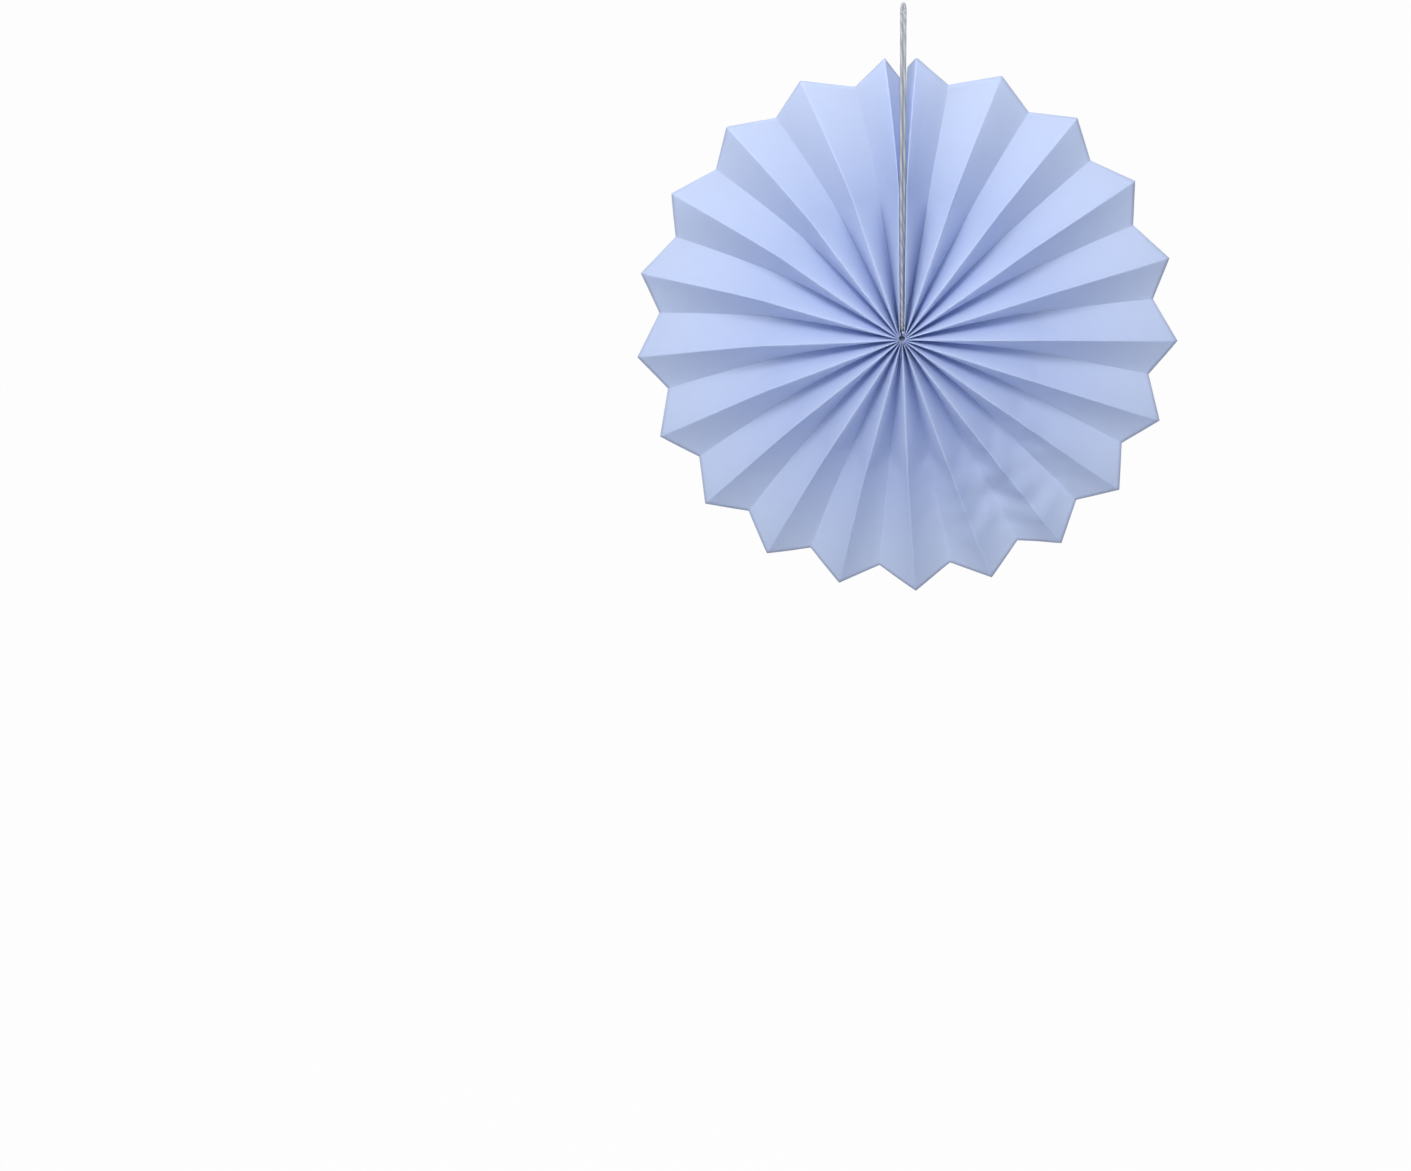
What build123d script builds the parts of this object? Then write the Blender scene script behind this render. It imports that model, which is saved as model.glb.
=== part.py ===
from build123d import *
from math import asin, atan2, cos, hypot, pi, radians, sin, sqrt, tan
import os

# A hanging rosette, folded from one long strip of paper.
# The strip is pleated to and fro, opened into a full ring and closed by a seam at the top.
# A cord goes through a hole near the inner end of every panel, gathers the pleats,
# comes up the seam as two strands and ends in a closed loop.
# Millimetres. +Z runs up along the cord, and the front faces -Y.
# The origin is the place of the hook, under the bend of the loop.

# Pleated sheet
front_fold_count = 21        # folds that point to the front
tip_radius = 150.0           # hub axis to the outer point of a front fold
rim_notch = 12.2             # the outer points of the back folds stand this much nearer to the hub
eye_radius = 1.7             # round eye that the packed inner ends leave
rim_depth = 6.4              # front fold to back fold, at the tips' radius
paper_thickness = 0.2
spread_shift = radians(2.6)  # the lowest folds have turned this far to the right from an even spread
spread_swing = radians(1.3)  # the folds at both sides have sunk this far
spread_second = radians(0.5)  # a second, finer swing round the ring

# Seam between the two end panels
seam_rim_gap = 16.5          # across the seam, between the two end tips
seam_lean = 1.6              # the rim of the seam stands this far to the left of the cord
seam_tape_gap = 4.0          # mouth of the seam where the tape ends
seam_pinch_gap = 1.0         # mouth of the seam from the eye to where the cord comes out
seam_pinch_radius = 2.0
seam_slot_radius = 3.6       # from here on the end panels stand apart for the cord
seam_edge_gap = 2.0          # between the two free edges at the rim
seam_bend_share = 0.3        # how far the opened end panels stay bent along the tape
left_corner_drop = 19.6      # outer corner of the left free edge, nearer to the hub than the tips
right_corner_drop = 9.3
end_tip_reach = 1.2          # the end tips stand this much farther out than the others
end_fold_lift = 3.0          # and this far in front of them
next_valley_lift = 4.0       # the valleys beside them follow by this much
next_valley_share = 0.41     # and stand a little nearer to the seam than half way

# Double-sided tape that joins the end panels
tape_width = 8.5
tape_thickness = 0.15
tape_inner_radius = 28.0
tape_outer_radius = 79.0
tape_margin = 0.8            # closed paper left bare beyond each long edge of the tape
tape_clearance = 0.07
seam_closing_start = 12.5    # the bends of the end panels begin to close here, beyond the cord's way out

# Cord
cord_diameter = 1.6
ring_radius = 5.0            # threaded ring on the right, to its corners
ring_step_in = 0.9           # the ring on the left is this much smaller, so that the strands pass
ring_side_count = 8
hole_clearance = 0.5         # round the cord in the punched holes
slot_clearance = 0.4         # beside the cord where it turns up into the seam
strand_spacing = 1.64        # between the middles of the two strands
loop_width = 1.9             # between the middles of the strands at the bend of the loop
loop_reach = 179.3           # hub axis to the top of the cord's centreline
loop_depth = 13.5            # the loop stands this far in front of the hub's middle
hook_drop = 1.4              # top of the cord's centreline down to the middle of a hook
cord_end_gap = 0.4           # between the two ends, at the bottom of the ring

# Worked out from the sizes above
pitch_count = front_fold_count - 1
valley_radius = tip_radius - rim_notch
left_corner_radius = tip_radius - left_corner_drop
right_corner_radius = tip_radius - right_corner_drop
half_pitch = (pi - seam_rim_gap / 2 / tip_radius) / pitch_count
panel_width = hypot(tip_radius * half_pitch, rim_depth)
back_strip = tape_width + 2 * tape_margin
front_strip = panel_width - back_strip
closed_gap = tape_thickness / 2 + tape_clearance
cord_radius = cord_diameter / 2
slot_gap = cord_radius + slot_clearance
station_count = 18


def half_depth(radius):
    return sqrt(panel_width**2 - (radius * half_pitch) ** 2) / 2


def opening(radius):
    # nothing as far out as the tape goes, 1 at the tips
    way = max(0, radius - tape_outer_radius) / (tip_radius - tape_outer_radius)
    return way**1.3


def rounded_step(radius, start, end):
    # 0 up to the start and 1 from the end on
    way = min(1, max(0, (radius - start) / (end - start)))
    return (1 - cos(pi * way)) / 2


def mouth(radius, side):
    # middle of the seam to an end fold; side is 1 on the right and -1 on the left
    rim_half = seam_rim_gap / 2 - side * seam_lean
    taped = min(1, (radius - eye_radius) / (tape_outer_radius - eye_radius))
    gap = slot_gap + (seam_tape_gap / 2 - slot_gap) * taped
    pinched = 1 - rounded_step(radius, seam_pinch_radius, seam_slot_radius)
    gap += (seam_pinch_gap / 2 - gap) * pinched
    return gap + (rim_half - seam_tape_gap / 2) * opening(radius)


def bend_gap(radius):
    # middle of the seam to the bend of an end panel: open round the cord, then closed on the tape
    closed = rounded_step(radius, seam_closing_start, tape_inner_radius)
    inner = mouth(min(radius, seam_closing_start), 1)
    return inner + (closed_gap - inner) * closed


def free_edge_gap(radius):
    # middle of the seam to the free edge of an end panel
    return closed_gap + (seam_edge_gap / 2 - closed_gap) * opening(radius)


def lift(radius, amount):
    return amount * (radius / tip_radius) ** 2


def spread(turn):
    # how far the folds have moved back from an even spread; nothing at the seam
    return spread_shift / 2 * (1 - cos(turn)) - spread_swing * sin(turn) + spread_second * sin(2 * turn)


def crease(radius, fold):
    # arc from the middle of the seam, clockwise, and depth; even folds point to the front
    first = mouth(radius, 1) + paper_thickness
    last = 2 * pi * radius - mouth(radius, -1) - paper_thickness
    pitch = (last - first) / pitch_count
    nearer = pitch * (0.5 - next_valley_share) * (radius / tip_radius) ** 2
    arc = first + pitch * fold / 2
    arc -= radius * spread(arc / radius)
    depth = half_depth(radius) - paper_thickness
    if fold % 2 == 0:
        depth = -depth
    if fold in (0, 2 * pitch_count):
        depth -= lift(radius, end_fold_lift)
    if fold == 1:
        arc -= nearer
        depth -= lift(radius, next_valley_lift)
    if fold == 2 * pitch_count - 1:
        arc += nearer
        depth -= lift(radius, next_valley_lift)
    return arc, depth


def panel_slope(front_crease, back_crease):
    # a panel's back face goes through its front crease, its front face through its back crease
    across = abs(back_crease[0] - front_crease[0])
    deep = back_crease[1] - front_crease[1]
    slope = atan2(across, deep) - asin(paper_thickness / hypot(across, deep))
    length = (deep + paper_thickness) / cos(slope)
    return slope, length


def front_corner(radius, fold, neighbour):
    # where a panel's front face ends at a front fold
    here, there = crease(radius, fold), crease(radius, neighbour)
    slope, length = panel_slope(here, there)
    return there[0] - (neighbour - fold) * length * sin(slope), here[1] - paper_thickness


def back_corner(radius, fold, neighbour):
    # where a panel's back face ends at a back fold
    here, there = crease(radius, fold), crease(radius, neighbour)
    slope, length = panel_slope(there, here)
    return there[0] + (fold - neighbour) * length * sin(slope), here[1] + paper_thickness


def end_panel(radius, side):
    # points of an end panel as distance from the middle of the seam, and depth
    fold_at = mouth(radius, side) + paper_thickness
    fold_depth = crease(radius, 0)[1]
    edge_at = free_edge_gap(radius)
    bend_at = bend_gap(radius) + seam_bend_share * (fold_at - edge_at) * opening(radius)
    bend_depth = fold_depth + sqrt(front_strip**2 - (fold_at - bend_at) ** 2)
    edge_depth = bend_depth + sqrt(back_strip**2 - (bend_at - edge_at) ** 2)
    slope, length = panel_slope((fold_at, fold_depth), (bend_at, bend_depth))
    back_slope = atan2(bend_at - edge_at, edge_depth - bend_depth)
    across, deep = paper_thickness * cos(back_slope), paper_thickness * sin(back_slope)
    mitre = paper_thickness / (1 + cos(slope - back_slope))
    return {
        "corner": (bend_at + length * sin(slope), fold_depth - paper_thickness),
        "bend": (bend_at, bend_depth),
        "edge": (edge_at, edge_depth),
        "edge back": (edge_at + across, edge_depth + deep),
        "bend back": (
            bend_at + mitre * (cos(slope) + cos(back_slope)),
            bend_depth + mitre * (sin(slope) + sin(back_slope)),
        ),
    }


def place(radius, arc, depth):
    return Vector(radius * sin(arc / radius), depth, radius * cos(arc / radius))


def fold_line(outer_radius, section):
    # one line along the sheet, from the eye out to its own place on the rim
    shares = [(i / station_count) ** 1.6 for i in range(station_count + 1)]
    points = []
    for share in shares:
        radius = eye_radius + share * (outer_radius - eye_radius)
        arc, depth = section(radius)
        points.append(place(radius, arc, depth))
    line = Edge.make_spline(points, parameters=shares)
    return {"line": line, "inner": points[0], "outer": points[-1]}


def skin(first, second):
    return Face.make_surface_from_curves(first["line"], second["line"])


def caps(first, second, third, fourth):
    # close the paper's thickness at the eye and at the rim
    faces = []
    for end in ("inner", "outer"):
        one = Edge.make_line(first[end], second[end])
        other = Edge.make_line(fourth[end], third[end])
        faces.append(Face.make_surface_from_curves(one, other))
    return faces


def corner_caps(first, second, third):
    return [
        Face(Wire.make_polygon([first[end], second[end], third[end]], close=True))
        for end in ("inner", "outer")
    ]


def fan_sheet():
    last = 2 * pitch_count
    end_tip_radius = tip_radius + end_tip_reach
    creases, towards_next, towards_previous = {}, {}, {}
    for fold in range(last + 1):
        outer = tip_radius if fold % 2 == 0 else valley_radius
        if fold in (0, last):
            outer = end_tip_radius
        corner = front_corner if fold % 2 == 0 else back_corner
        creases[fold] = fold_line(outer, lambda r, f=fold: crease(r, f))
        if fold < last:
            towards_next[fold] = fold_line(outer, lambda r, f=fold, c=corner: c(r, f, f + 1))
        if fold > 0:
            towards_previous[fold] = fold_line(outer, lambda r, f=fold, c=corner: c(r, f, f - 1))

    ends = {}
    for side, corner_radius in ((1, right_corner_radius), (-1, left_corner_radius)):
        bend_radius = end_tip_radius + (corner_radius - end_tip_radius) * front_strip / panel_width
        outers = {
            "corner": end_tip_radius,
            "bend": bend_radius,
            "edge": corner_radius,
            "edge back": corner_radius,
            "bend back": bend_radius,
        }
        ends[side] = {}
        for name, outer in outers.items():
            def section(r, n=name, s=side):
                away, depth = end_panel(r, s)[n]
                return s * away, depth
            ends[side][name] = fold_line(outer, section)
    towards_previous[0] = ends[1]["corner"]
    towards_next[last] = ends[-1]["corner"]

    faces = []
    for fold in range(last):
        if fold % 2 == 0:
            front = towards_next[fold], creases[fold + 1]
            back = creases[fold], towards_previous[fold + 1]
        else:
            front = creases[fold], towards_previous[fold + 1]
            back = towards_next[fold], creases[fold + 1]
        faces += [skin(*front), skin(*back)]
        faces += caps(front[0], front[1], back[1], back[0])
    for fold in range(last + 1):
        faces.append(skin(towards_previous[fold], towards_next[fold]))
        faces += corner_caps(creases[fold], towards_previous[fold], towards_next[fold])
    for side, fold in ((1, 0), (-1, last)):
        end = ends[side]
        faces += [skin(end["corner"], end["bend"]), skin(end["bend"], end["edge"])]
        faces += [skin(creases[fold], end["bend back"]), skin(end["bend back"], end["edge back"])]
        faces += [skin(end["edge"], end["edge back"])]
        faces += caps(end["corner"], end["bend"], end["bend back"], creases[fold])
        faces += caps(end["bend"], end["edge"], end["edge back"], end["bend back"])
    return Solid(Shell(faces))


def ring_corners(radius, side):
    # corners of half a ring, from the bottom to the top
    step = pi / ring_side_count * 2
    corners = []
    for number in range(ring_side_count // 2):
        turn = pi - (number + 0.5) * step
        corners.append((side * radius * sin(turn), 0, radius * cos(turn)))
    return corners


def cord_points():
    # right half from its end at the bottom of the ring up to the loop, then the left half back down
    inner_radius = ring_radius - ring_step_in
    half = strand_spacing / 2
    right = [(cord_end_gap / 2, 0, -ring_radius * cos(pi / ring_side_count))]
    right += ring_corners(ring_radius, 1)
    right += [
        (0, 0.1, ring_radius + 0.3),
        (0, -9.6, 5.7),
        (0.1, -9.6, 16),
        (0.3, -9.6, 45),
        (half, -10.8, 80),
        (half, -loop_depth, loop_reach - 10),
        (loop_width / 2, -loop_depth, loop_reach),
    ]
    left = [(-cord_end_gap / 2, 0, -ring_radius * cos(pi / ring_side_count))]
    left += ring_corners(inner_radius, -1)
    left += [
        (0, -0.7, inner_radius - 0.6),
        (0, -11.5, 3.8),
        (-0.1, -11.5, 14.5),
        (-0.3, -11.5, 45),
        (-half, -12, 80),
        (-half, -loop_depth, loop_reach - 10),
        (-loop_width / 2, -loop_depth, loop_reach),
    ]
    return right, left


def bend_radii(points):
    radii = []
    for before, here, after in zip(points, points[1:], points[2:]):
        back, ahead = Vector(*here) - Vector(*before), Vector(*after) - Vector(*here)
        turn = back.get_angle(ahead) * pi / 180
        radii.append(0.45 * min(back.length, ahead.length) / tan(turn / 2))
    return radii


def tube(points, radius):
    radii = bend_radii(points)
    print("bend radii, mm:", [round(r, 1) for r in radii])
    path = FilletPolyline(*points, radius=radii)
    return sweep(Plane(origin=path @ 0, z_dir=path % 0) * Circle(radius), path=path), path


def tape():
    middle = (tape_inner_radius + tape_outer_radius) / 2
    bend, edge = end_panel(middle, 1)["bend"], end_panel(middle, 1)["edge"]
    return Pos(0, (bend[1] + edge[1]) / 2, middle) * Box(
        tape_thickness, tape_width, tape_outer_radius - tape_inner_radius
    )


os.makedirs("parts", exist_ok=True)

right, left = cord_points()
cord, cord_path = tube(right + left[::-1], cord_radius)
cord_volume = pi * cord_radius**2 * cord_path.length
print("cord length, mm:", round(cord_path.length, 1))
print("cord volume against section times length:", round(cord.volume / cord_volume, 4))

# One hole through every panel, wide enough for the cord and on past the place where its ends meet
threaded_count = ring_side_count // 2 + 2
fan = fan_sheet()
for half in (right, left):
    bottom = half[0]
    overrun = cord_end_gap + cord_radius
    past_end = (bottom[0] - overrun if bottom[0] > 0 else bottom[0] + overrun, 0, bottom[2])
    fan -= tube([past_end] + half[1:threaded_count], cord_radius + hole_clearance)[0]
print("sheet valid:", fan.is_valid, "volume:", round(fan.volume, 1))

to_hook = Pos(0, loop_depth, hook_drop - loop_reach)
export_step(to_hook * fan, "parts/folded_fan.step")
export_step(to_hook * tape(), "parts/seam_tape.step")
export_step(to_hook * cord, "parts/hanging_cord.step")
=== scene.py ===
import random
from math import cos, exp, hypot, pi, radians, sin, sqrt, tan

import bmesh
import bpy
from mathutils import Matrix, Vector, noise


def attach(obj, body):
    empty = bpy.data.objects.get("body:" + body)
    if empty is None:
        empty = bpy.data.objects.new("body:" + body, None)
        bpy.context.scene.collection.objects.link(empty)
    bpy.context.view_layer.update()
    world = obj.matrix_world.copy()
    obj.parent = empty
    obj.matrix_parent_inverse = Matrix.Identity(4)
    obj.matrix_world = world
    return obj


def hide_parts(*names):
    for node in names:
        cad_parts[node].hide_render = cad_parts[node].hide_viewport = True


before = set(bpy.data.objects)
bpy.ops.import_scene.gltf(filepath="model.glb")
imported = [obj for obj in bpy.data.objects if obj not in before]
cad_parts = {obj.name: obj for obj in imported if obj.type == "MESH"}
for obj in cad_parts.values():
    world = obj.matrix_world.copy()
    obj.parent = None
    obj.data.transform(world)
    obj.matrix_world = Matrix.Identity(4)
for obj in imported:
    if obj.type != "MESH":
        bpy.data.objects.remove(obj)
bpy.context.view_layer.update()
print("frame loaded:", sorted(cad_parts))

mm = 0.001


def linearColour(hexColour):
    # sRGB hex to the linear numbers that a shader takes
    channels = [int(hexColour[i:i + 2], 16) / 255 for i in (1, 3, 5)]
    return [c / 12.92 if c <= 0.04045 else ((c + 0.055) / 1.055) ** 2.4 for c in channels] + [1]


def addNode(tree, kind, settings={}, inputs={}, links={}):
    # settings are the node's own fields, inputs are socket values, links are (node, output) by socket.
    # On a Mix node for colours, sockets 6 and 7 are the two colours and output 2 is the result.
    node = tree.nodes.new(kind)
    for name, value in settings.items():
        setattr(node, name, value)
    for name, value in inputs.items():
        node.inputs[name].default_value = value
    for name, (source, output) in links.items():
        tree.links.new(source.outputs[output], node.inputs[name])
    return node


def newMaterial(name):
    material = bpy.data.materials.new(name)
    material.use_nodes = True
    material.node_tree.nodes.clear()
    return material, material.node_tree


def newPiece(name, mesh, material, body="root"):
    piece = bpy.data.objects.new(name, mesh)
    bpy.context.scene.collection.objects.link(piece)
    mesh.materials.append(material)
    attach(piece, body)
    return piece


# Camera, where the photo was taken from: higher than the fan and turned down towards it.
# The turn is in degrees, the lens and the sensor are in millimetres.
view = {
    "place": (0.0440, -1.1895, 0.0852),
    "turn": (71.205, 1.401, 7.024),
    "lens": 55.875,
    "sensor": 36,
}

cameraData = bpy.data.cameras.new("camera")
cameraData.lens = view["lens"]
cameraData.sensor_width = view["sensor"]
camera = bpy.data.objects.new("camera", cameraData)
camera.location = view["place"]
camera.rotation_euler = [radians(a) for a in view["turn"]]
bpy.context.scene.collection.objects.link(camera)
bpy.context.scene.camera = camera

# Light: an even room with a brighter wall behind the fan, a soft window at the upper left
# and a smaller lamp in front. The wall's light begins at wallStart and is full from wallFull on,
# where 0 is the direction straight to the side and 1 is the one straight behind the fan.
light = {
    "room": "#FAFBFF",
    "roomStrength": 0.43,
    "wallStrength": 0.68,
    "wallStart": -0.2,
    "wallFull": 0.7,
    "lamps": {
        "window": {"place": (-0.38, -0.48, 0.42), "size": 0.7, "power": 1.6, "aim": (0, 0, -0.12)},
        "frontLamp": {"place": (-0.06, -0.45, 0.2), "size": 0.25, "power": 3.2, "aim": (-0.02, 0, -0.12)},
    },
}

for name, kind in light["lamps"].items():
    lampData = bpy.data.lights.new(name, "AREA")
    lampData.shape = "DISK"
    lampData.size = kind["size"]
    lampData.energy = kind["power"]
    lamp = bpy.data.objects.new(name, lampData)
    lamp.location = kind["place"]
    lamp.rotation_euler = (Vector(kind["aim"]) - lamp.location).to_track_quat("-Z", "Y").to_euler()
    bpy.context.scene.collection.objects.link(lamp)

# The camera and glossy surfaces see white, and everything else is lit by the room and its wall
world = bpy.data.worlds.new("studio")
bpy.context.scene.world = world
world.use_nodes = True
sky = world.node_tree
sky.nodes.clear()
path = addNode(sky, "ShaderNodeLightPath")
seen = addNode(sky, "ShaderNodeMath", {"operation": "MAXIMUM"},
               links={0: (path, "Is Camera Ray"), 1: (path, "Is Glossy Ray")})
direction = addNode(sky, "ShaderNodeTexCoord")
behind = addNode(sky, "ShaderNodeSeparateXYZ", links={0: (direction, "Generated")})
strength = addNode(sky, "ShaderNodeMapRange", {"interpolation_type": "SMOOTHSTEP"},
                   {"From Min": light["wallStart"], "From Max": light["wallFull"],
                    "To Min": light["roomStrength"], "To Max": light["wallStrength"]},
                   {"Value": (behind, "Y")})
room = addNode(sky, "ShaderNodeBackground", inputs={"Color": linearColour(light["room"])},
               links={"Strength": (strength, 0)})
white = addNode(sky, "ShaderNodeBackground", inputs={"Color": (1, 1, 1, 1), "Strength": 1})
either = addNode(sky, "ShaderNodeMixShader", links={0: (seen, 0), 1: (room, 0), 2: (white, 0)})
addNode(sky, "ShaderNodeOutputWorld", links={"Surface": (either, 0)})

# Floor, well below the hanging fan: pale paint that the camera sees nearly white
floor = {"height": -1.3, "size": 160, "colour": "#F2F2F2", "whiteness": 0.97}

bm = bmesh.new()
bmesh.ops.create_grid(bm, x_segments=1, y_segments=1, size=floor["size"] / 2)
bmesh.ops.translate(bm, verts=bm.verts, vec=(0, 0, floor["height"]))
floorMesh = bpy.data.meshes.new("floor")
bm.to_mesh(floorMesh)
bm.free()
floorMaterial, tree = newMaterial("paintedFloor")
path = addNode(tree, "ShaderNodeLightPath")
share = addNode(tree, "ShaderNodeMath", {"operation": "MULTIPLY"}, {1: floor["whiteness"]},
                {0: (path, "Is Camera Ray")})
paint = addNode(tree, "ShaderNodeBsdfDiffuse", inputs={"Color": linearColour(floor["colour"])})
glow = addNode(tree, "ShaderNodeEmission", inputs={"Color": (1, 1, 1, 1), "Strength": 1})
both = addNode(tree, "ShaderNodeMixShader", links={0: (share, 0), 1: (paint, 0), 2: (glow, 0)})
addNode(tree, "ShaderNodeOutputMaterial", links={"Surface": (both, 0)})
floorMesh.materials.append(floorMaterial)
floorPiece = bpy.data.objects.new("floor", floorMesh)
bpy.context.scene.collection.objects.link(floorPiece)
print("camera, light and floor are in place")

# Cord: thin grey polyester cord, folded double and threaded through the pleats.
# The route starts at the bottom of the threaded ring, goes up the seam to the loop and comes back.
# The diameter and the length are in metres, the sizes of the route in millimetres.
cord = {
    "diameter": 1.6 * mm,
    "length": 0.394,
    "ringRadius": 5.0,
    "leftRingRadius": 4.1,
    "ringSides": 8,
    "endGap": 0.4,
    "halfSpacing": 0.82,
    "halfLoop": 0.95,
    "reach": 179.3,
    "depth": 13.5,
    "hookDrop": 1.4,
    "colour": "#A0A3AA",
    # shadeColour is painted shade, for the grooves between the plies
    "shadeColour": "#848890",
    "twistRepeats": (160, 2, 1),
    "twistScale": 0.35,
}


def toHook(x, y, z):
    # millimetres from the hub's middle to metres from the hook
    return x * mm, (y + cord["depth"]) * mm, (z + cord["hookDrop"] - cord["reach"]) * mm


def ringPoints(radius, side):
    # corners of half a ring, from the bottom to the top
    step = 2 * pi / cord["ringSides"]
    turns = [pi - (i + 0.5) * step for i in range(cord["ringSides"] // 2)]
    return [(side * radius * sin(a), 0, radius * cos(a)) for a in turns]


bottom = -cord["ringRadius"] * cos(pi / cord["ringSides"])
rightHalf = [(cord["endGap"] / 2, 0, bottom)] + ringPoints(cord["ringRadius"], 1) + [
    (0, 0.1, cord["ringRadius"] + 0.3),
    (0, -9.6, 5.7),
    (0.1, -9.6, 16),
    (0.3, -9.6, 45),
    (cord["halfSpacing"], -10.8, 80),
    (cord["halfSpacing"], -cord["depth"], cord["reach"] - 10),
    (cord["halfLoop"], -cord["depth"], cord["reach"]),
]
leftHalf = [(-cord["endGap"] / 2, 0, bottom)] + ringPoints(cord["leftRingRadius"], -1) + [
    (0, -0.7, cord["leftRingRadius"] - 0.6),
    (0, -11.5, 3.8),
    (-0.1, -11.5, 14.5),
    (-0.3, -11.5, 45),
    (-cord["halfSpacing"], -12, 80),
    (-cord["halfSpacing"], -cord["depth"], cord["reach"] - 10),
    (-cord["halfLoop"], -cord["depth"], cord["reach"]),
]
route = [toHook(*p) for p in rightHalf + leftHalf[::-1]]

curve = bpy.data.curves.new("hangingCord", "CURVE")
curve.dimensions = "3D"
curve.bevel_depth = cord["diameter"] / 2
curve.bevel_resolution = 5
curve.resolution_u = 16
curve.use_fill_caps = True
spline = curve.splines.new("NURBS")
spline.points.add(len(route) - 1)
for point, place in zip(spline.points, route):
    point.co = (*place, 1)
spline.order_u = 3
spline.use_endpoint_u = True

# Twisted polyester: smooth bright filaments, with painted shade in the grooves between the plies, where the
# bands turn to the cord's shadeColour.
# The pattern lies on the curve's own UV, so the twist is drawn out where the route's points are far apart.
cordMaterial, tree = newMaterial("twistedPolyester")
coords = addNode(tree, "ShaderNodeTexCoord")
onCord = addNode(tree, "ShaderNodeMapping", inputs={"Scale": cord["twistRepeats"]},
                 links={"Vector": (coords, "UV")})
plies = addNode(tree, "ShaderNodeTexWave", {"wave_type": "BANDS", "bands_direction": "DIAGONAL"},
                {"Scale": cord["twistScale"], "Distortion": 0.6, "Detail": 1}, {"Vector": (onCord, 0)})
# the bands give the cord's own grey on the plies and painted shade in the grooves between them; the same
# bands also drive the bumps
colours = addNode(tree, "ShaderNodeMix", {"data_type": "RGBA"},
                  {6: linearColour(cord["shadeColour"]), 7: linearColour(cord["colour"])},
                  {0: (plies, "Fac")})
bumps = addNode(tree, "ShaderNodeBump", inputs={"Strength": 0.5, "Distance": 0.15 * mm},
                links={"Height": (plies, "Fac")})
shader = addNode(tree, "ShaderNodeBsdfPrincipled", inputs={"Roughness": 0.55, "IOR": 1.5},
                 links={"Base Color": (colours, 2), "Normal": (bumps, 0)})
addNode(tree, "ShaderNodeOutputMaterial", links={"Surface": (shader, 0)})

hangingCord = newPiece("hangingCord", curve, cordMaterial)
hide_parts("hanging_cord")
print("cord threaded and looped")

# Folded sheet: one strip of paper, pleated to and fro and opened into a ring with a seam at the top.
# The sizes of the sheet and of its seam are the ones that the solid was folded to, in millimetres.
sheet = {
    "frontFolds": 21,
    "tipRadius": 150.0,
    "rimNotch": 12.2,
    "eyeRadius": 1.7,
    "rimDepth": 6.4,
    "thickness": 0.2,
    "spreadShift": radians(2.6),
    "spreadSwing": radians(1.3),
    "spreadSecond": radians(0.5),
    "endTipReach": 1.2,
    "endLift": 3.0,
    "nextLift": 4.0,
    "nextShare": 0.41,
}
seam = {
    "rimGap": 16.5,
    "lean": 1.6,
    "tapeGap": 4.0,
    "pinchGap": 1.0,
    "pinchRadius": 2.0,
    "slotRadius": 3.6,
    "slotGap": 1.2,
    "edgeGap": 2.0,
    "bendShare": 0.3,
    "openingPower": 1.3,
    "leftCornerDrop": 19.6,
    "rightCornerDrop": 9.3,
    "tapeInner": 28.0,
    "tapeOuter": 79.0,
    "closingStart": 12.5,
    "closedGap": 0.145,
    "backStrip": 10.1,
}

# The soft forms that handled paper has and the solid hasn't, with lengths in millimetres,
# and the grid that is folded into them
soft = {
    "hubTilt": radians(22),    # slope with which a panel leaves its front fold, at the hub
    "outerTilt": radians(59),  # and at flatRadius, from where on the panels are flat
    "tiltPower": 1.5,
    "flatRadius": 80.0,
    "crevice": 0.12,           # share of the half pitch that is left where it turns down into the valley
    "packedRadius": 4.0,       # nearer to the hub than this the panels are packed, side by side
    "looseRadius": 24.0,
    "packedPower": 6,
    "foldHeight": 0.08,        # rounding of a fold at the hub, and at the rim
    "rimFoldHeight": 0.22,
    "foldReach": 0.3,          # how far from a fold it is felt at the hub, and how much farther at the rim
    "rimFoldReach": 0.9,
    "bow": 0.5,
    "rippleHeight": 0.55,
    "rippleSteps": (1.7, 1.5, 4.5),  # through the noise: from panel to panel, across a panel and outwards
    "rumpleTurn": radians(147),      # clockwise from the seam
    "rumpleRadius": 103.0,
    "rumpleReach": 32.0,
    "rumpleHeight": 4.2,
    "rumpleWave": 12.5,
    "seed": 7,
    "rows": 84,                # of the grid, from the eye to the rim, closer together near the hub
    "rowPower": 1.35,
    # columns as shares of a panel's width, from its front fold on (on the two end panels, clockwise)
    "acrossPanel": (0, 0.012, 0.04, 0.11, 0.22, 0.34, 0.46, 0.58, 0.7, 0.82, 0.94, 0.985),
}

pitchCount = sheet["frontFolds"] - 1
lastFold = 2 * pitchCount
panelCount = lastFold + 2
halfPitch = (pi - seam["rimGap"] / 2 / sheet["tipRadius"]) / pitchCount
panelWidth = hypot(sheet["tipRadius"] * halfPitch, sheet["rimDepth"])
frontStrip = panelWidth - seam["backStrip"]
columns = panelCount * len(soft["acrossPanel"])
random.seed(soft["seed"])
bows = [random.uniform(-1, 1) for _ in range(panelCount)]


def halfDepth(radius):
    return sqrt(panelWidth**2 - (radius * halfPitch) ** 2) / 2


def opening(radius):
    # nothing as far out as the tape goes, 1 at the tips
    way = max(0, radius - seam["tapeOuter"]) / (sheet["tipRadius"] - seam["tapeOuter"])
    return way ** seam["openingPower"]


def roundedStep(radius, start, end):
    # 0 up to the start and 1 from the end on
    way = min(1, max(0, (radius - start) / (end - start)))
    return (1 - cos(pi * way)) / 2


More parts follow.
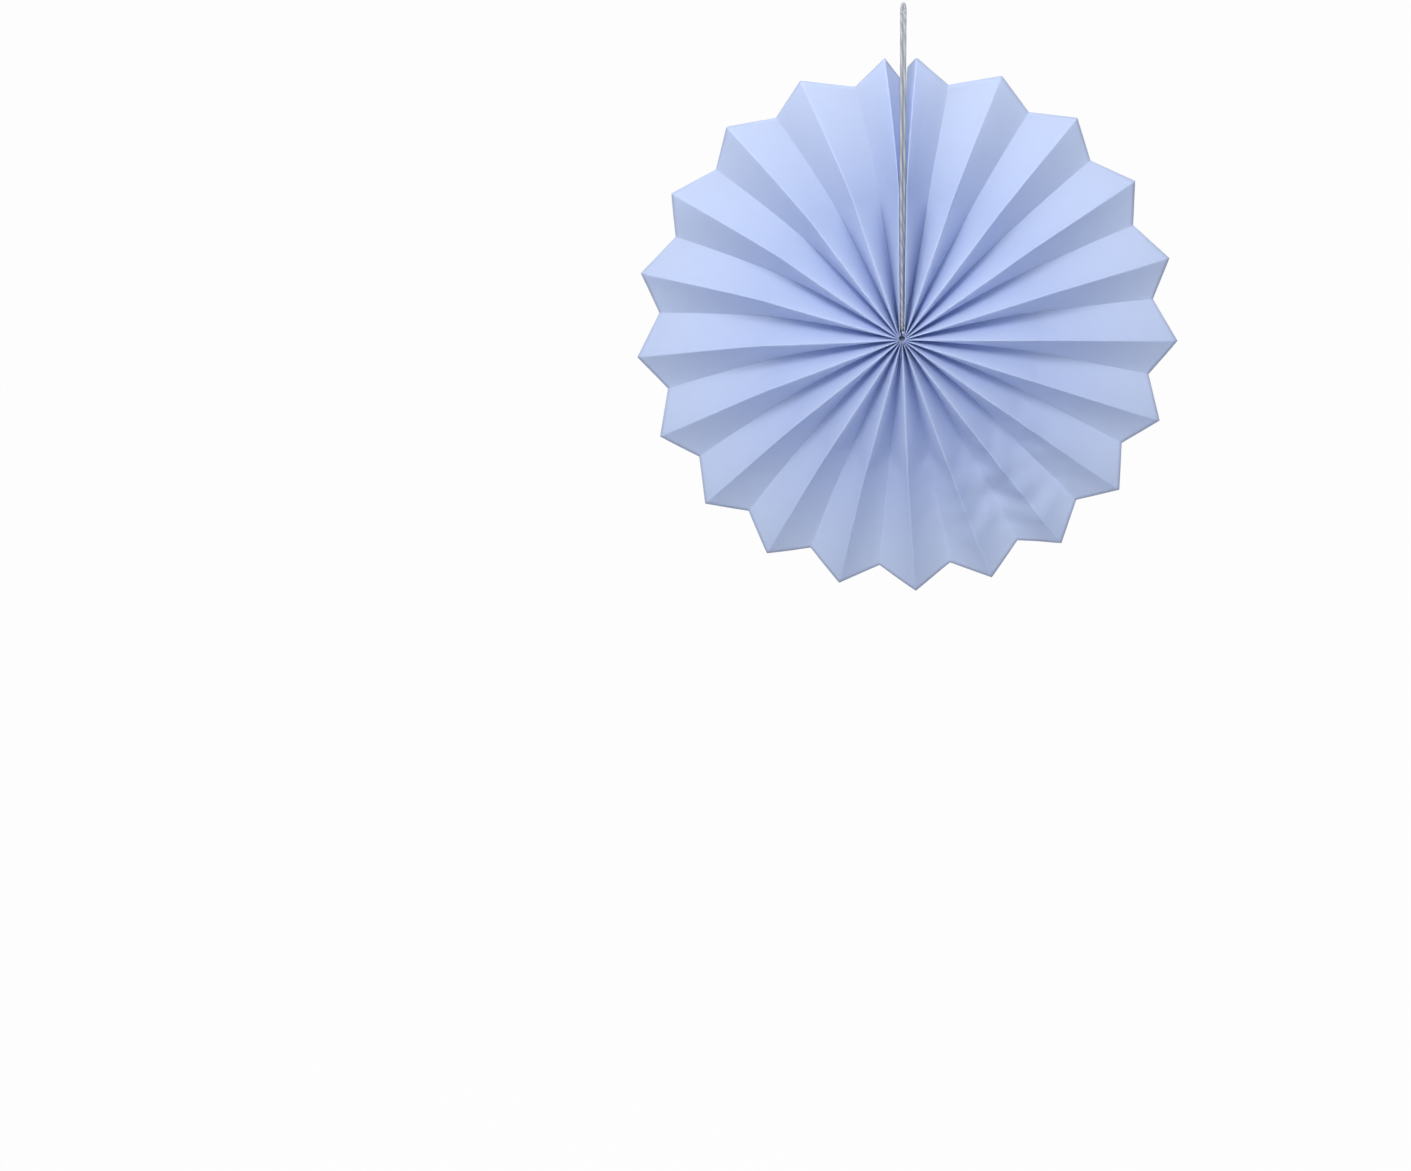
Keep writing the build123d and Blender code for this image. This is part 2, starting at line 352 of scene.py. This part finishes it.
def mouth(radius, side):
    # middle of the seam to an end fold; side is 1 on the right and -1 on the left
    rimHalf = seam["rimGap"] / 2 - side * seam["lean"]
    taped = min(1, (radius - sheet["eyeRadius"]) / (seam["tapeOuter"] - sheet["eyeRadius"]))
    gap = seam["slotGap"] + (seam["tapeGap"] / 2 - seam["slotGap"]) * taped
    gap += (seam["pinchGap"] / 2 - gap) * (1 - roundedStep(radius, seam["pinchRadius"], seam["slotRadius"]))
    return gap + (rimHalf - seam["tapeGap"] / 2) * opening(radius)


def bendGap(radius):
    # middle of the seam to the bend of an end panel: open round the cord, then closed on the tape
    inner = mouth(min(radius, seam["closingStart"]), 1)
    return inner + (seam["closedGap"] - inner) * roundedStep(radius, seam["closingStart"], seam["tapeInner"])


def foldPlace(radius, fold):
    # arc from the middle of the seam, clockwise, and depth of the paper's middle; even folds are in front
    first = mouth(radius, 1) + sheet["thickness"] / 2
    last = 2 * pi * radius - mouth(radius, -1) - sheet["thickness"] / 2
    pitch = (last - first) / pitchCount
    out = (radius / sheet["tipRadius"]) ** 2
    nearer = pitch * (0.5 - sheet["nextShare"]) * out
    arc = first + pitch * fold / 2
    turn = arc / radius
    spread = sheet["spreadShift"] / 2 * (1 - cos(turn)) - sheet["spreadSwing"] * sin(turn)
    arc -= radius * (spread + sheet["spreadSecond"] * sin(2 * turn))
    depth = halfDepth(radius) - sheet["thickness"] / 2
    if fold % 2 == 0:
        depth = -depth
    if fold in (0, lastFold):
        depth -= sheet["endLift"] * out
    if fold == 1:
        arc -= nearer
        depth -= sheet["nextLift"] * out
    if fold == lastFold - 1:
        arc += nearer
        depth -= sheet["nextLift"] * out
    return arc, depth


def onFan(radius, arc, depth):
    return Vector((radius * sin(arc / radius), depth, radius * cos(arc / radius)))


def foldPoint(share, fold):
    # share is how far out along the fold the point lies, from the eye to the rim
    outer = sheet["tipRadius"] - (sheet["rimNotch"] if fold % 2 else 0)
    if fold in (0, lastFold):
        outer += sheet["endTipReach"]
    radius = sheet["eyeRadius"] + share * (outer - sheet["eyeRadius"])
    return onFan(radius, *foldPlace(radius, fold))


def endPanelPoint(share, side, line):
    # an end panel's lines are its fold, the bend along the tape and its free edge
    drop = seam["rightCornerDrop"] if side > 0 else seam["leftCornerDrop"]
    across = {"fold": 0, "bend": frontStrip / panelWidth, "edge": 1}[line]
    outer = sheet["tipRadius"] + sheet["endTipReach"] - (drop + sheet["endTipReach"]) * across
    radius = sheet["eyeRadius"] + share * (outer - sheet["eyeRadius"])
    half = sheet["thickness"] / 2
    foldAt = mouth(radius, side) + half
    foldDepth = foldPlace(radius, 0)[1]
    edgeAt = seam["closedGap"] + (seam["edgeGap"] / 2 - seam["closedGap"]) * opening(radius)
    bendAt = bendGap(radius) + seam["bendShare"] * (foldAt - edgeAt) * opening(radius)
    bendDepth = foldDepth + sqrt(frontStrip**2 - (foldAt - bendAt) ** 2)
    edgeDepth = bendDepth + sqrt(seam["backStrip"] ** 2 - (bendAt - edgeAt) ** 2)
    lines = {
        "fold": (foldAt, foldDepth),
        "bend": (bendAt + half, bendDepth),
        "edge": (edgeAt + half, edgeDepth),
    }
    away, depth = lines[line]
    return onFan(radius, side * away, depth)


def panelCorners(panel, share):
    # the points that a panel spans at this share of the way out, clockwise; the end panels are first and last
    if panel == 0:
        return [endPanelPoint(share, 1, line) for line in ("edge", "bend", "fold")]
    if panel == panelCount - 1:
        return [endPanelPoint(share, -1, line) for line in ("fold", "bend", "edge")]
    return [foldPoint(share, panel - 1), foldPoint(share, panel)]


def onEndPanel(panel, part, corners):
    # straight to the bend along the tape, and straight on from there
    start, bend, end = corners
    bendPart = (seam["backStrip"] if panel == 0 else frontStrip) / panelWidth
    if part < bendPart:
        return start.lerp(bend, part / bendPart)
    return bend.lerp(end, (part - bendPart) / (1 - bendPart))


def bentPanel(radius, depth, column):
    # Near the hub a panel comes down gently from its front fold and then turns back steeply into the valley.
    # The column is 0 at the front fold and 1 at the back fold; returned are the shares of the panel's width,
    # of the way aside and of the way down that it has come to.
    halfArc = radius * halfPitch
    out = min(1, radius / soft["flatRadius"])
    tilt = soft["hubTilt"] + (soft["outerTilt"] - soft["hubTilt"]) * out ** soft["tiltPower"]
    bendAside = 1 - soft["crevice"] * (1 + out)
    bendDown = bendAside * min(1, halfArc * tan(tilt) / depth)
    upper = hypot(bendAside * halfArc, bendDown * depth)
    lower = hypot((1 - bendAside) * halfArc, (1 - bendDown) * depth)
    bendShare = upper / (upper + lower)
    share, aside, down = (2 * column * (1 - column) * s + column**2 for s in (bendShare, bendAside, bendDown))
    # round the eye the panels lie packed side by side
    loose = roundedStep(radius, soft["packedRadius"], soft["looseRadius"])
    packed = 0.5 + (share - 0.5) * abs(2 * share - 1) ** soft["packedPower"]
    return share, packed + (aside - packed) * loose, share + (down - share) * loose


def onPanel(panel, part, share, corners):
    # the place, and the part of the panel's width that it lies at
    frontFirst = panel % 2 == 1
    front, back = corners if frontFirst else corners[::-1]
    radius = sheet["eyeRadius"] + share * (sheet["tipRadius"] - sheet["eyeRadius"])
    width, aside, down = bentPanel(radius, back.y - front.y, part if frontFirst else 1 - part)
    place = front.lerp(back, aside)
    place.y = front.y + (back.y - front.y) * down
    return place, width if frontFirst else 1 - width


def foldRounding(panel, part, share):
    # folded paper isn't knife-sharp: near a fold it rounds over, more so towards the rim
    if (panel == 0 and part < 0.5) or (panel == panelCount - 1 and part > 0.5):
        return 0
    towardsFront = (panel % 2 == 1) == (part < 0.5)
    height = soft["foldHeight"] + (soft["rimFoldHeight"] - soft["foldHeight"]) * share**3
    reach = soft["foldReach"] + soft["rimFoldReach"] * share**2
    fromFold = min(part, 1 - part) * panelWidth
    return (1 if towardsFront else -1) * height * exp(-fromFold / reach)


def bowAndRipple(panel, part, share):
    # the panels between the folds aren't quite flat
    if panel in (0, panelCount - 1):
        return 0
    swell = soft["bow"] * bows[panel] * sin(pi * part) * share**2
    byPanel, across, outwards = soft["rippleSteps"]
    ripple = noise.noise(Vector((panel * byPanel, part * across, share * outwards)))
    return swell + ripple * soft["rippleHeight"] * share * sin(pi * part)


def rumple(place):
    # handling has rumpled the sheet in one place
    sideways = place.x - soft["rumpleRadius"] * sin(soft["rumpleTurn"])
    upwards = place.z - soft["rumpleRadius"] * cos(soft["rumpleTurn"])
    away = Vector((sideways, upwards)).length
    height = soft["rumpleHeight"] * exp(-((away / soft["rumpleReach"]) ** 2))
    return height * noise.noise(Vector((place.x, 0, place.z)) / soft["rumpleWave"])


def panelAt(column):
    # the panel that a column of the grid lies on, and the part of the panel's width, clockwise
    across = soft["acrossPanel"]
    panel, step = divmod(column, len(across))
    if panel == panelCount:
        return panelCount - 1, 1.0
    if panel % 2 == 1 or panel == 0 or step == 0:
        return panel, across[step]
    return panel, 1 - across[-step]


rowShares = [(row / soft["rows"]) ** soft["rowPower"] for row in range(soft["rows"] + 1)]
spanned = [[panelCorners(panel, share) for share in rowShares] for panel in range(panelCount)]

bm = bmesh.new()
bmesh.ops.create_grid(bm, x_segments=columns, y_segments=soft["rows"], size=1)
flat = bm.loops.layers.uv.new("flatStrip")
stripPlace = {}
for vert in bm.verts:
    panel, part = panelAt(round((vert.co.x + 1) / 2 * columns))
    row = round((vert.co.y + 1) / 2 * soft["rows"])
    share = rowShares[row]
    if panel in (0, panelCount - 1):
        place = onEndPanel(panel, part, spanned[panel][row])
    else:
        place, part = onPanel(panel, part, share, spanned[panel][row])
    place.y += foldRounding(panel, part, share)
    place.y += bowAndRipple(panel, part, share)
    place.y += rumple(place)
    stripPlace[vert] = ((panel + part) * panelWidth * mm, share * sheet["tipRadius"] * mm)
    vert.co = toHook(*place)
for face in bm.faces:
    for loop in face.loops:
        loop[flat].uv = stripPlace[loop.vert]
    face.smooth = True
bmesh.ops.recalc_face_normals(bm, faces=bm.faces)
foldedMesh = bpy.data.meshes.new("foldedFan")
bm.to_mesh(foldedMesh)
bm.free()

# Uncoated paper, dyed in the pulp and rolled smooth: matt, with a fine grain, faint clouds where the
# fibres lie thicker, and a paler line where a fold has broken the surface. Some light comes through.
# Sizes are in millimetres; foldLine is half the width of the pale line and foldWear how strong it is.
paper = {
    "colour": "#C5D3F1",
    "cloudColour": "#C1CFEF",
    "foldColour": "#C9D6F2",
    "lightThrough": 0.46,
    "cloudSize": 6.0,
    "fibreSize": 0.9,
    "foldLine": 0.45,
    "foldWear": 0.3,
}
paperMaterial, tree = newMaterial("pulpDyedPaper")
uv = addNode(tree, "ShaderNodeUVMap", {"uv_map": "flatStrip"})
inMm = addNode(tree, "ShaderNodeMapping", inputs={"Scale": (1 / mm, 1 / mm, 1 / mm)},
               links={"Vector": (uv, 0)})
clouds = addNode(tree, "ShaderNodeTexNoise",
                 inputs={"Scale": 1 / paper["cloudSize"], "Detail": 3, "Roughness": 0.6},
                 links={"Vector": (inMm, 0)})
fibres = addNode(tree, "ShaderNodeTexNoise",
                 inputs={"Scale": 1 / paper["fibreSize"], "Detail": 2, "Roughness": 0.7},
                 links={"Vector": (inMm, 0)})
cloudy = addNode(tree, "ShaderNodeMix", {"data_type": "RGBA"},
                 {6: linearColour(paper["cloudColour"]), 7: linearColour(paper["colour"])},
                 {0: (clouds, "Fac")})
alongStrip = addNode(tree, "ShaderNodeSeparateXYZ", links={0: (inMm, 0)})
toFold = addNode(tree, "ShaderNodeMath", {"operation": "PINGPONG"}, {1: panelWidth / 2},
                 {0: (alongStrip, "X")})
foldLine = addNode(tree, "ShaderNodeMapRange", {"interpolation_type": "SMOOTHSTEP"},
                   {"From Min": 0, "From Max": paper["foldLine"], "To Min": paper["foldWear"], "To Max": 0},
                   {"Value": (toFold, 0)})
worn = addNode(tree, "ShaderNodeMix", {"data_type": "RGBA"}, {7: linearColour(paper["foldColour"])},
               {0: (foldLine, 0), 6: (cloudy, 2)})
bumps = addNode(tree, "ShaderNodeBump", inputs={"Strength": 0.25, "Distance": 0.05 * mm},
                links={"Height": (fibres, "Fac")})
shader = addNode(tree, "ShaderNodeBsdfPrincipled", inputs={"Roughness": 0.85, "IOR": 1.45},
                 links={"Base Color": (worn, 2), "Normal": (bumps, 0)})
through = addNode(tree, "ShaderNodeBsdfTranslucent", links={"Color": (worn, 2), "Normal": (bumps, 0)})
thin = addNode(tree, "ShaderNodeMixShader", inputs={0: paper["lightThrough"]},
               links={1: (shader, 0), 2: (through, 0)})
# Light that has entered one face of the sheet leaves by the other without being dimmed again
within = addNode(tree, "ShaderNodeNewGeometry")
leaving = addNode(tree, "ShaderNodeBsdfTranslucent", inputs={"Color": (1, 1, 1, 1)})
oneSheet = addNode(tree, "ShaderNodeMixShader",
                   links={0: (within, "Backfacing"), 1: (thin, 0), 2: (leaving, 0)})
addNode(tree, "ShaderNodeOutputMaterial", links={"Surface": (oneSheet, 0)})

foldedFan = newPiece("foldedFan", foldedMesh, paperMaterial)
thicken = foldedFan.modifiers.new("paperThickness", "SOLIDIFY")
thicken.thickness = sheet["thickness"] * mm
thicken.offset = 0
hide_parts("folded_fan")
print("sheet folded:", len(foldedMesh.polygons), "faces before its thickness")

# Double-sided tape in the seam: film that shows as a pale, slightly glossy edge
tape = {"colour": "#F0EEE6", "shadeColour": "#E6E4DC", "specksPerMetre": 900}

tapeMaterial, tree = newMaterial("doubleSidedTape")
coords = addNode(tree, "ShaderNodeTexCoord")
specks = addNode(tree, "ShaderNodeTexNoise", inputs={"Scale": tape["specksPerMetre"], "Detail": 2},
                 links={"Vector": (coords, "Object")})
colours = addNode(tree, "ShaderNodeMix", {"data_type": "RGBA"},
                  {6: linearColour(tape["shadeColour"]), 7: linearColour(tape["colour"])},
                  {0: (specks, "Fac")})
shader = addNode(tree, "ShaderNodeBsdfPrincipled", inputs={"Roughness": 0.35, "IOR": 1.49},
                 links={"Base Color": (colours, 2)})
addNode(tree, "ShaderNodeOutputMaterial", links={"Surface": (shader, 0)})
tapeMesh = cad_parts["seam_tape"].data
tapeMesh.materials.clear()
tapeMesh.materials.append(tapeMaterial)
print("tape finished")

scene = bpy.context.scene
scene.view_settings.view_transform = "Standard"
bpy.context.view_layer.update()
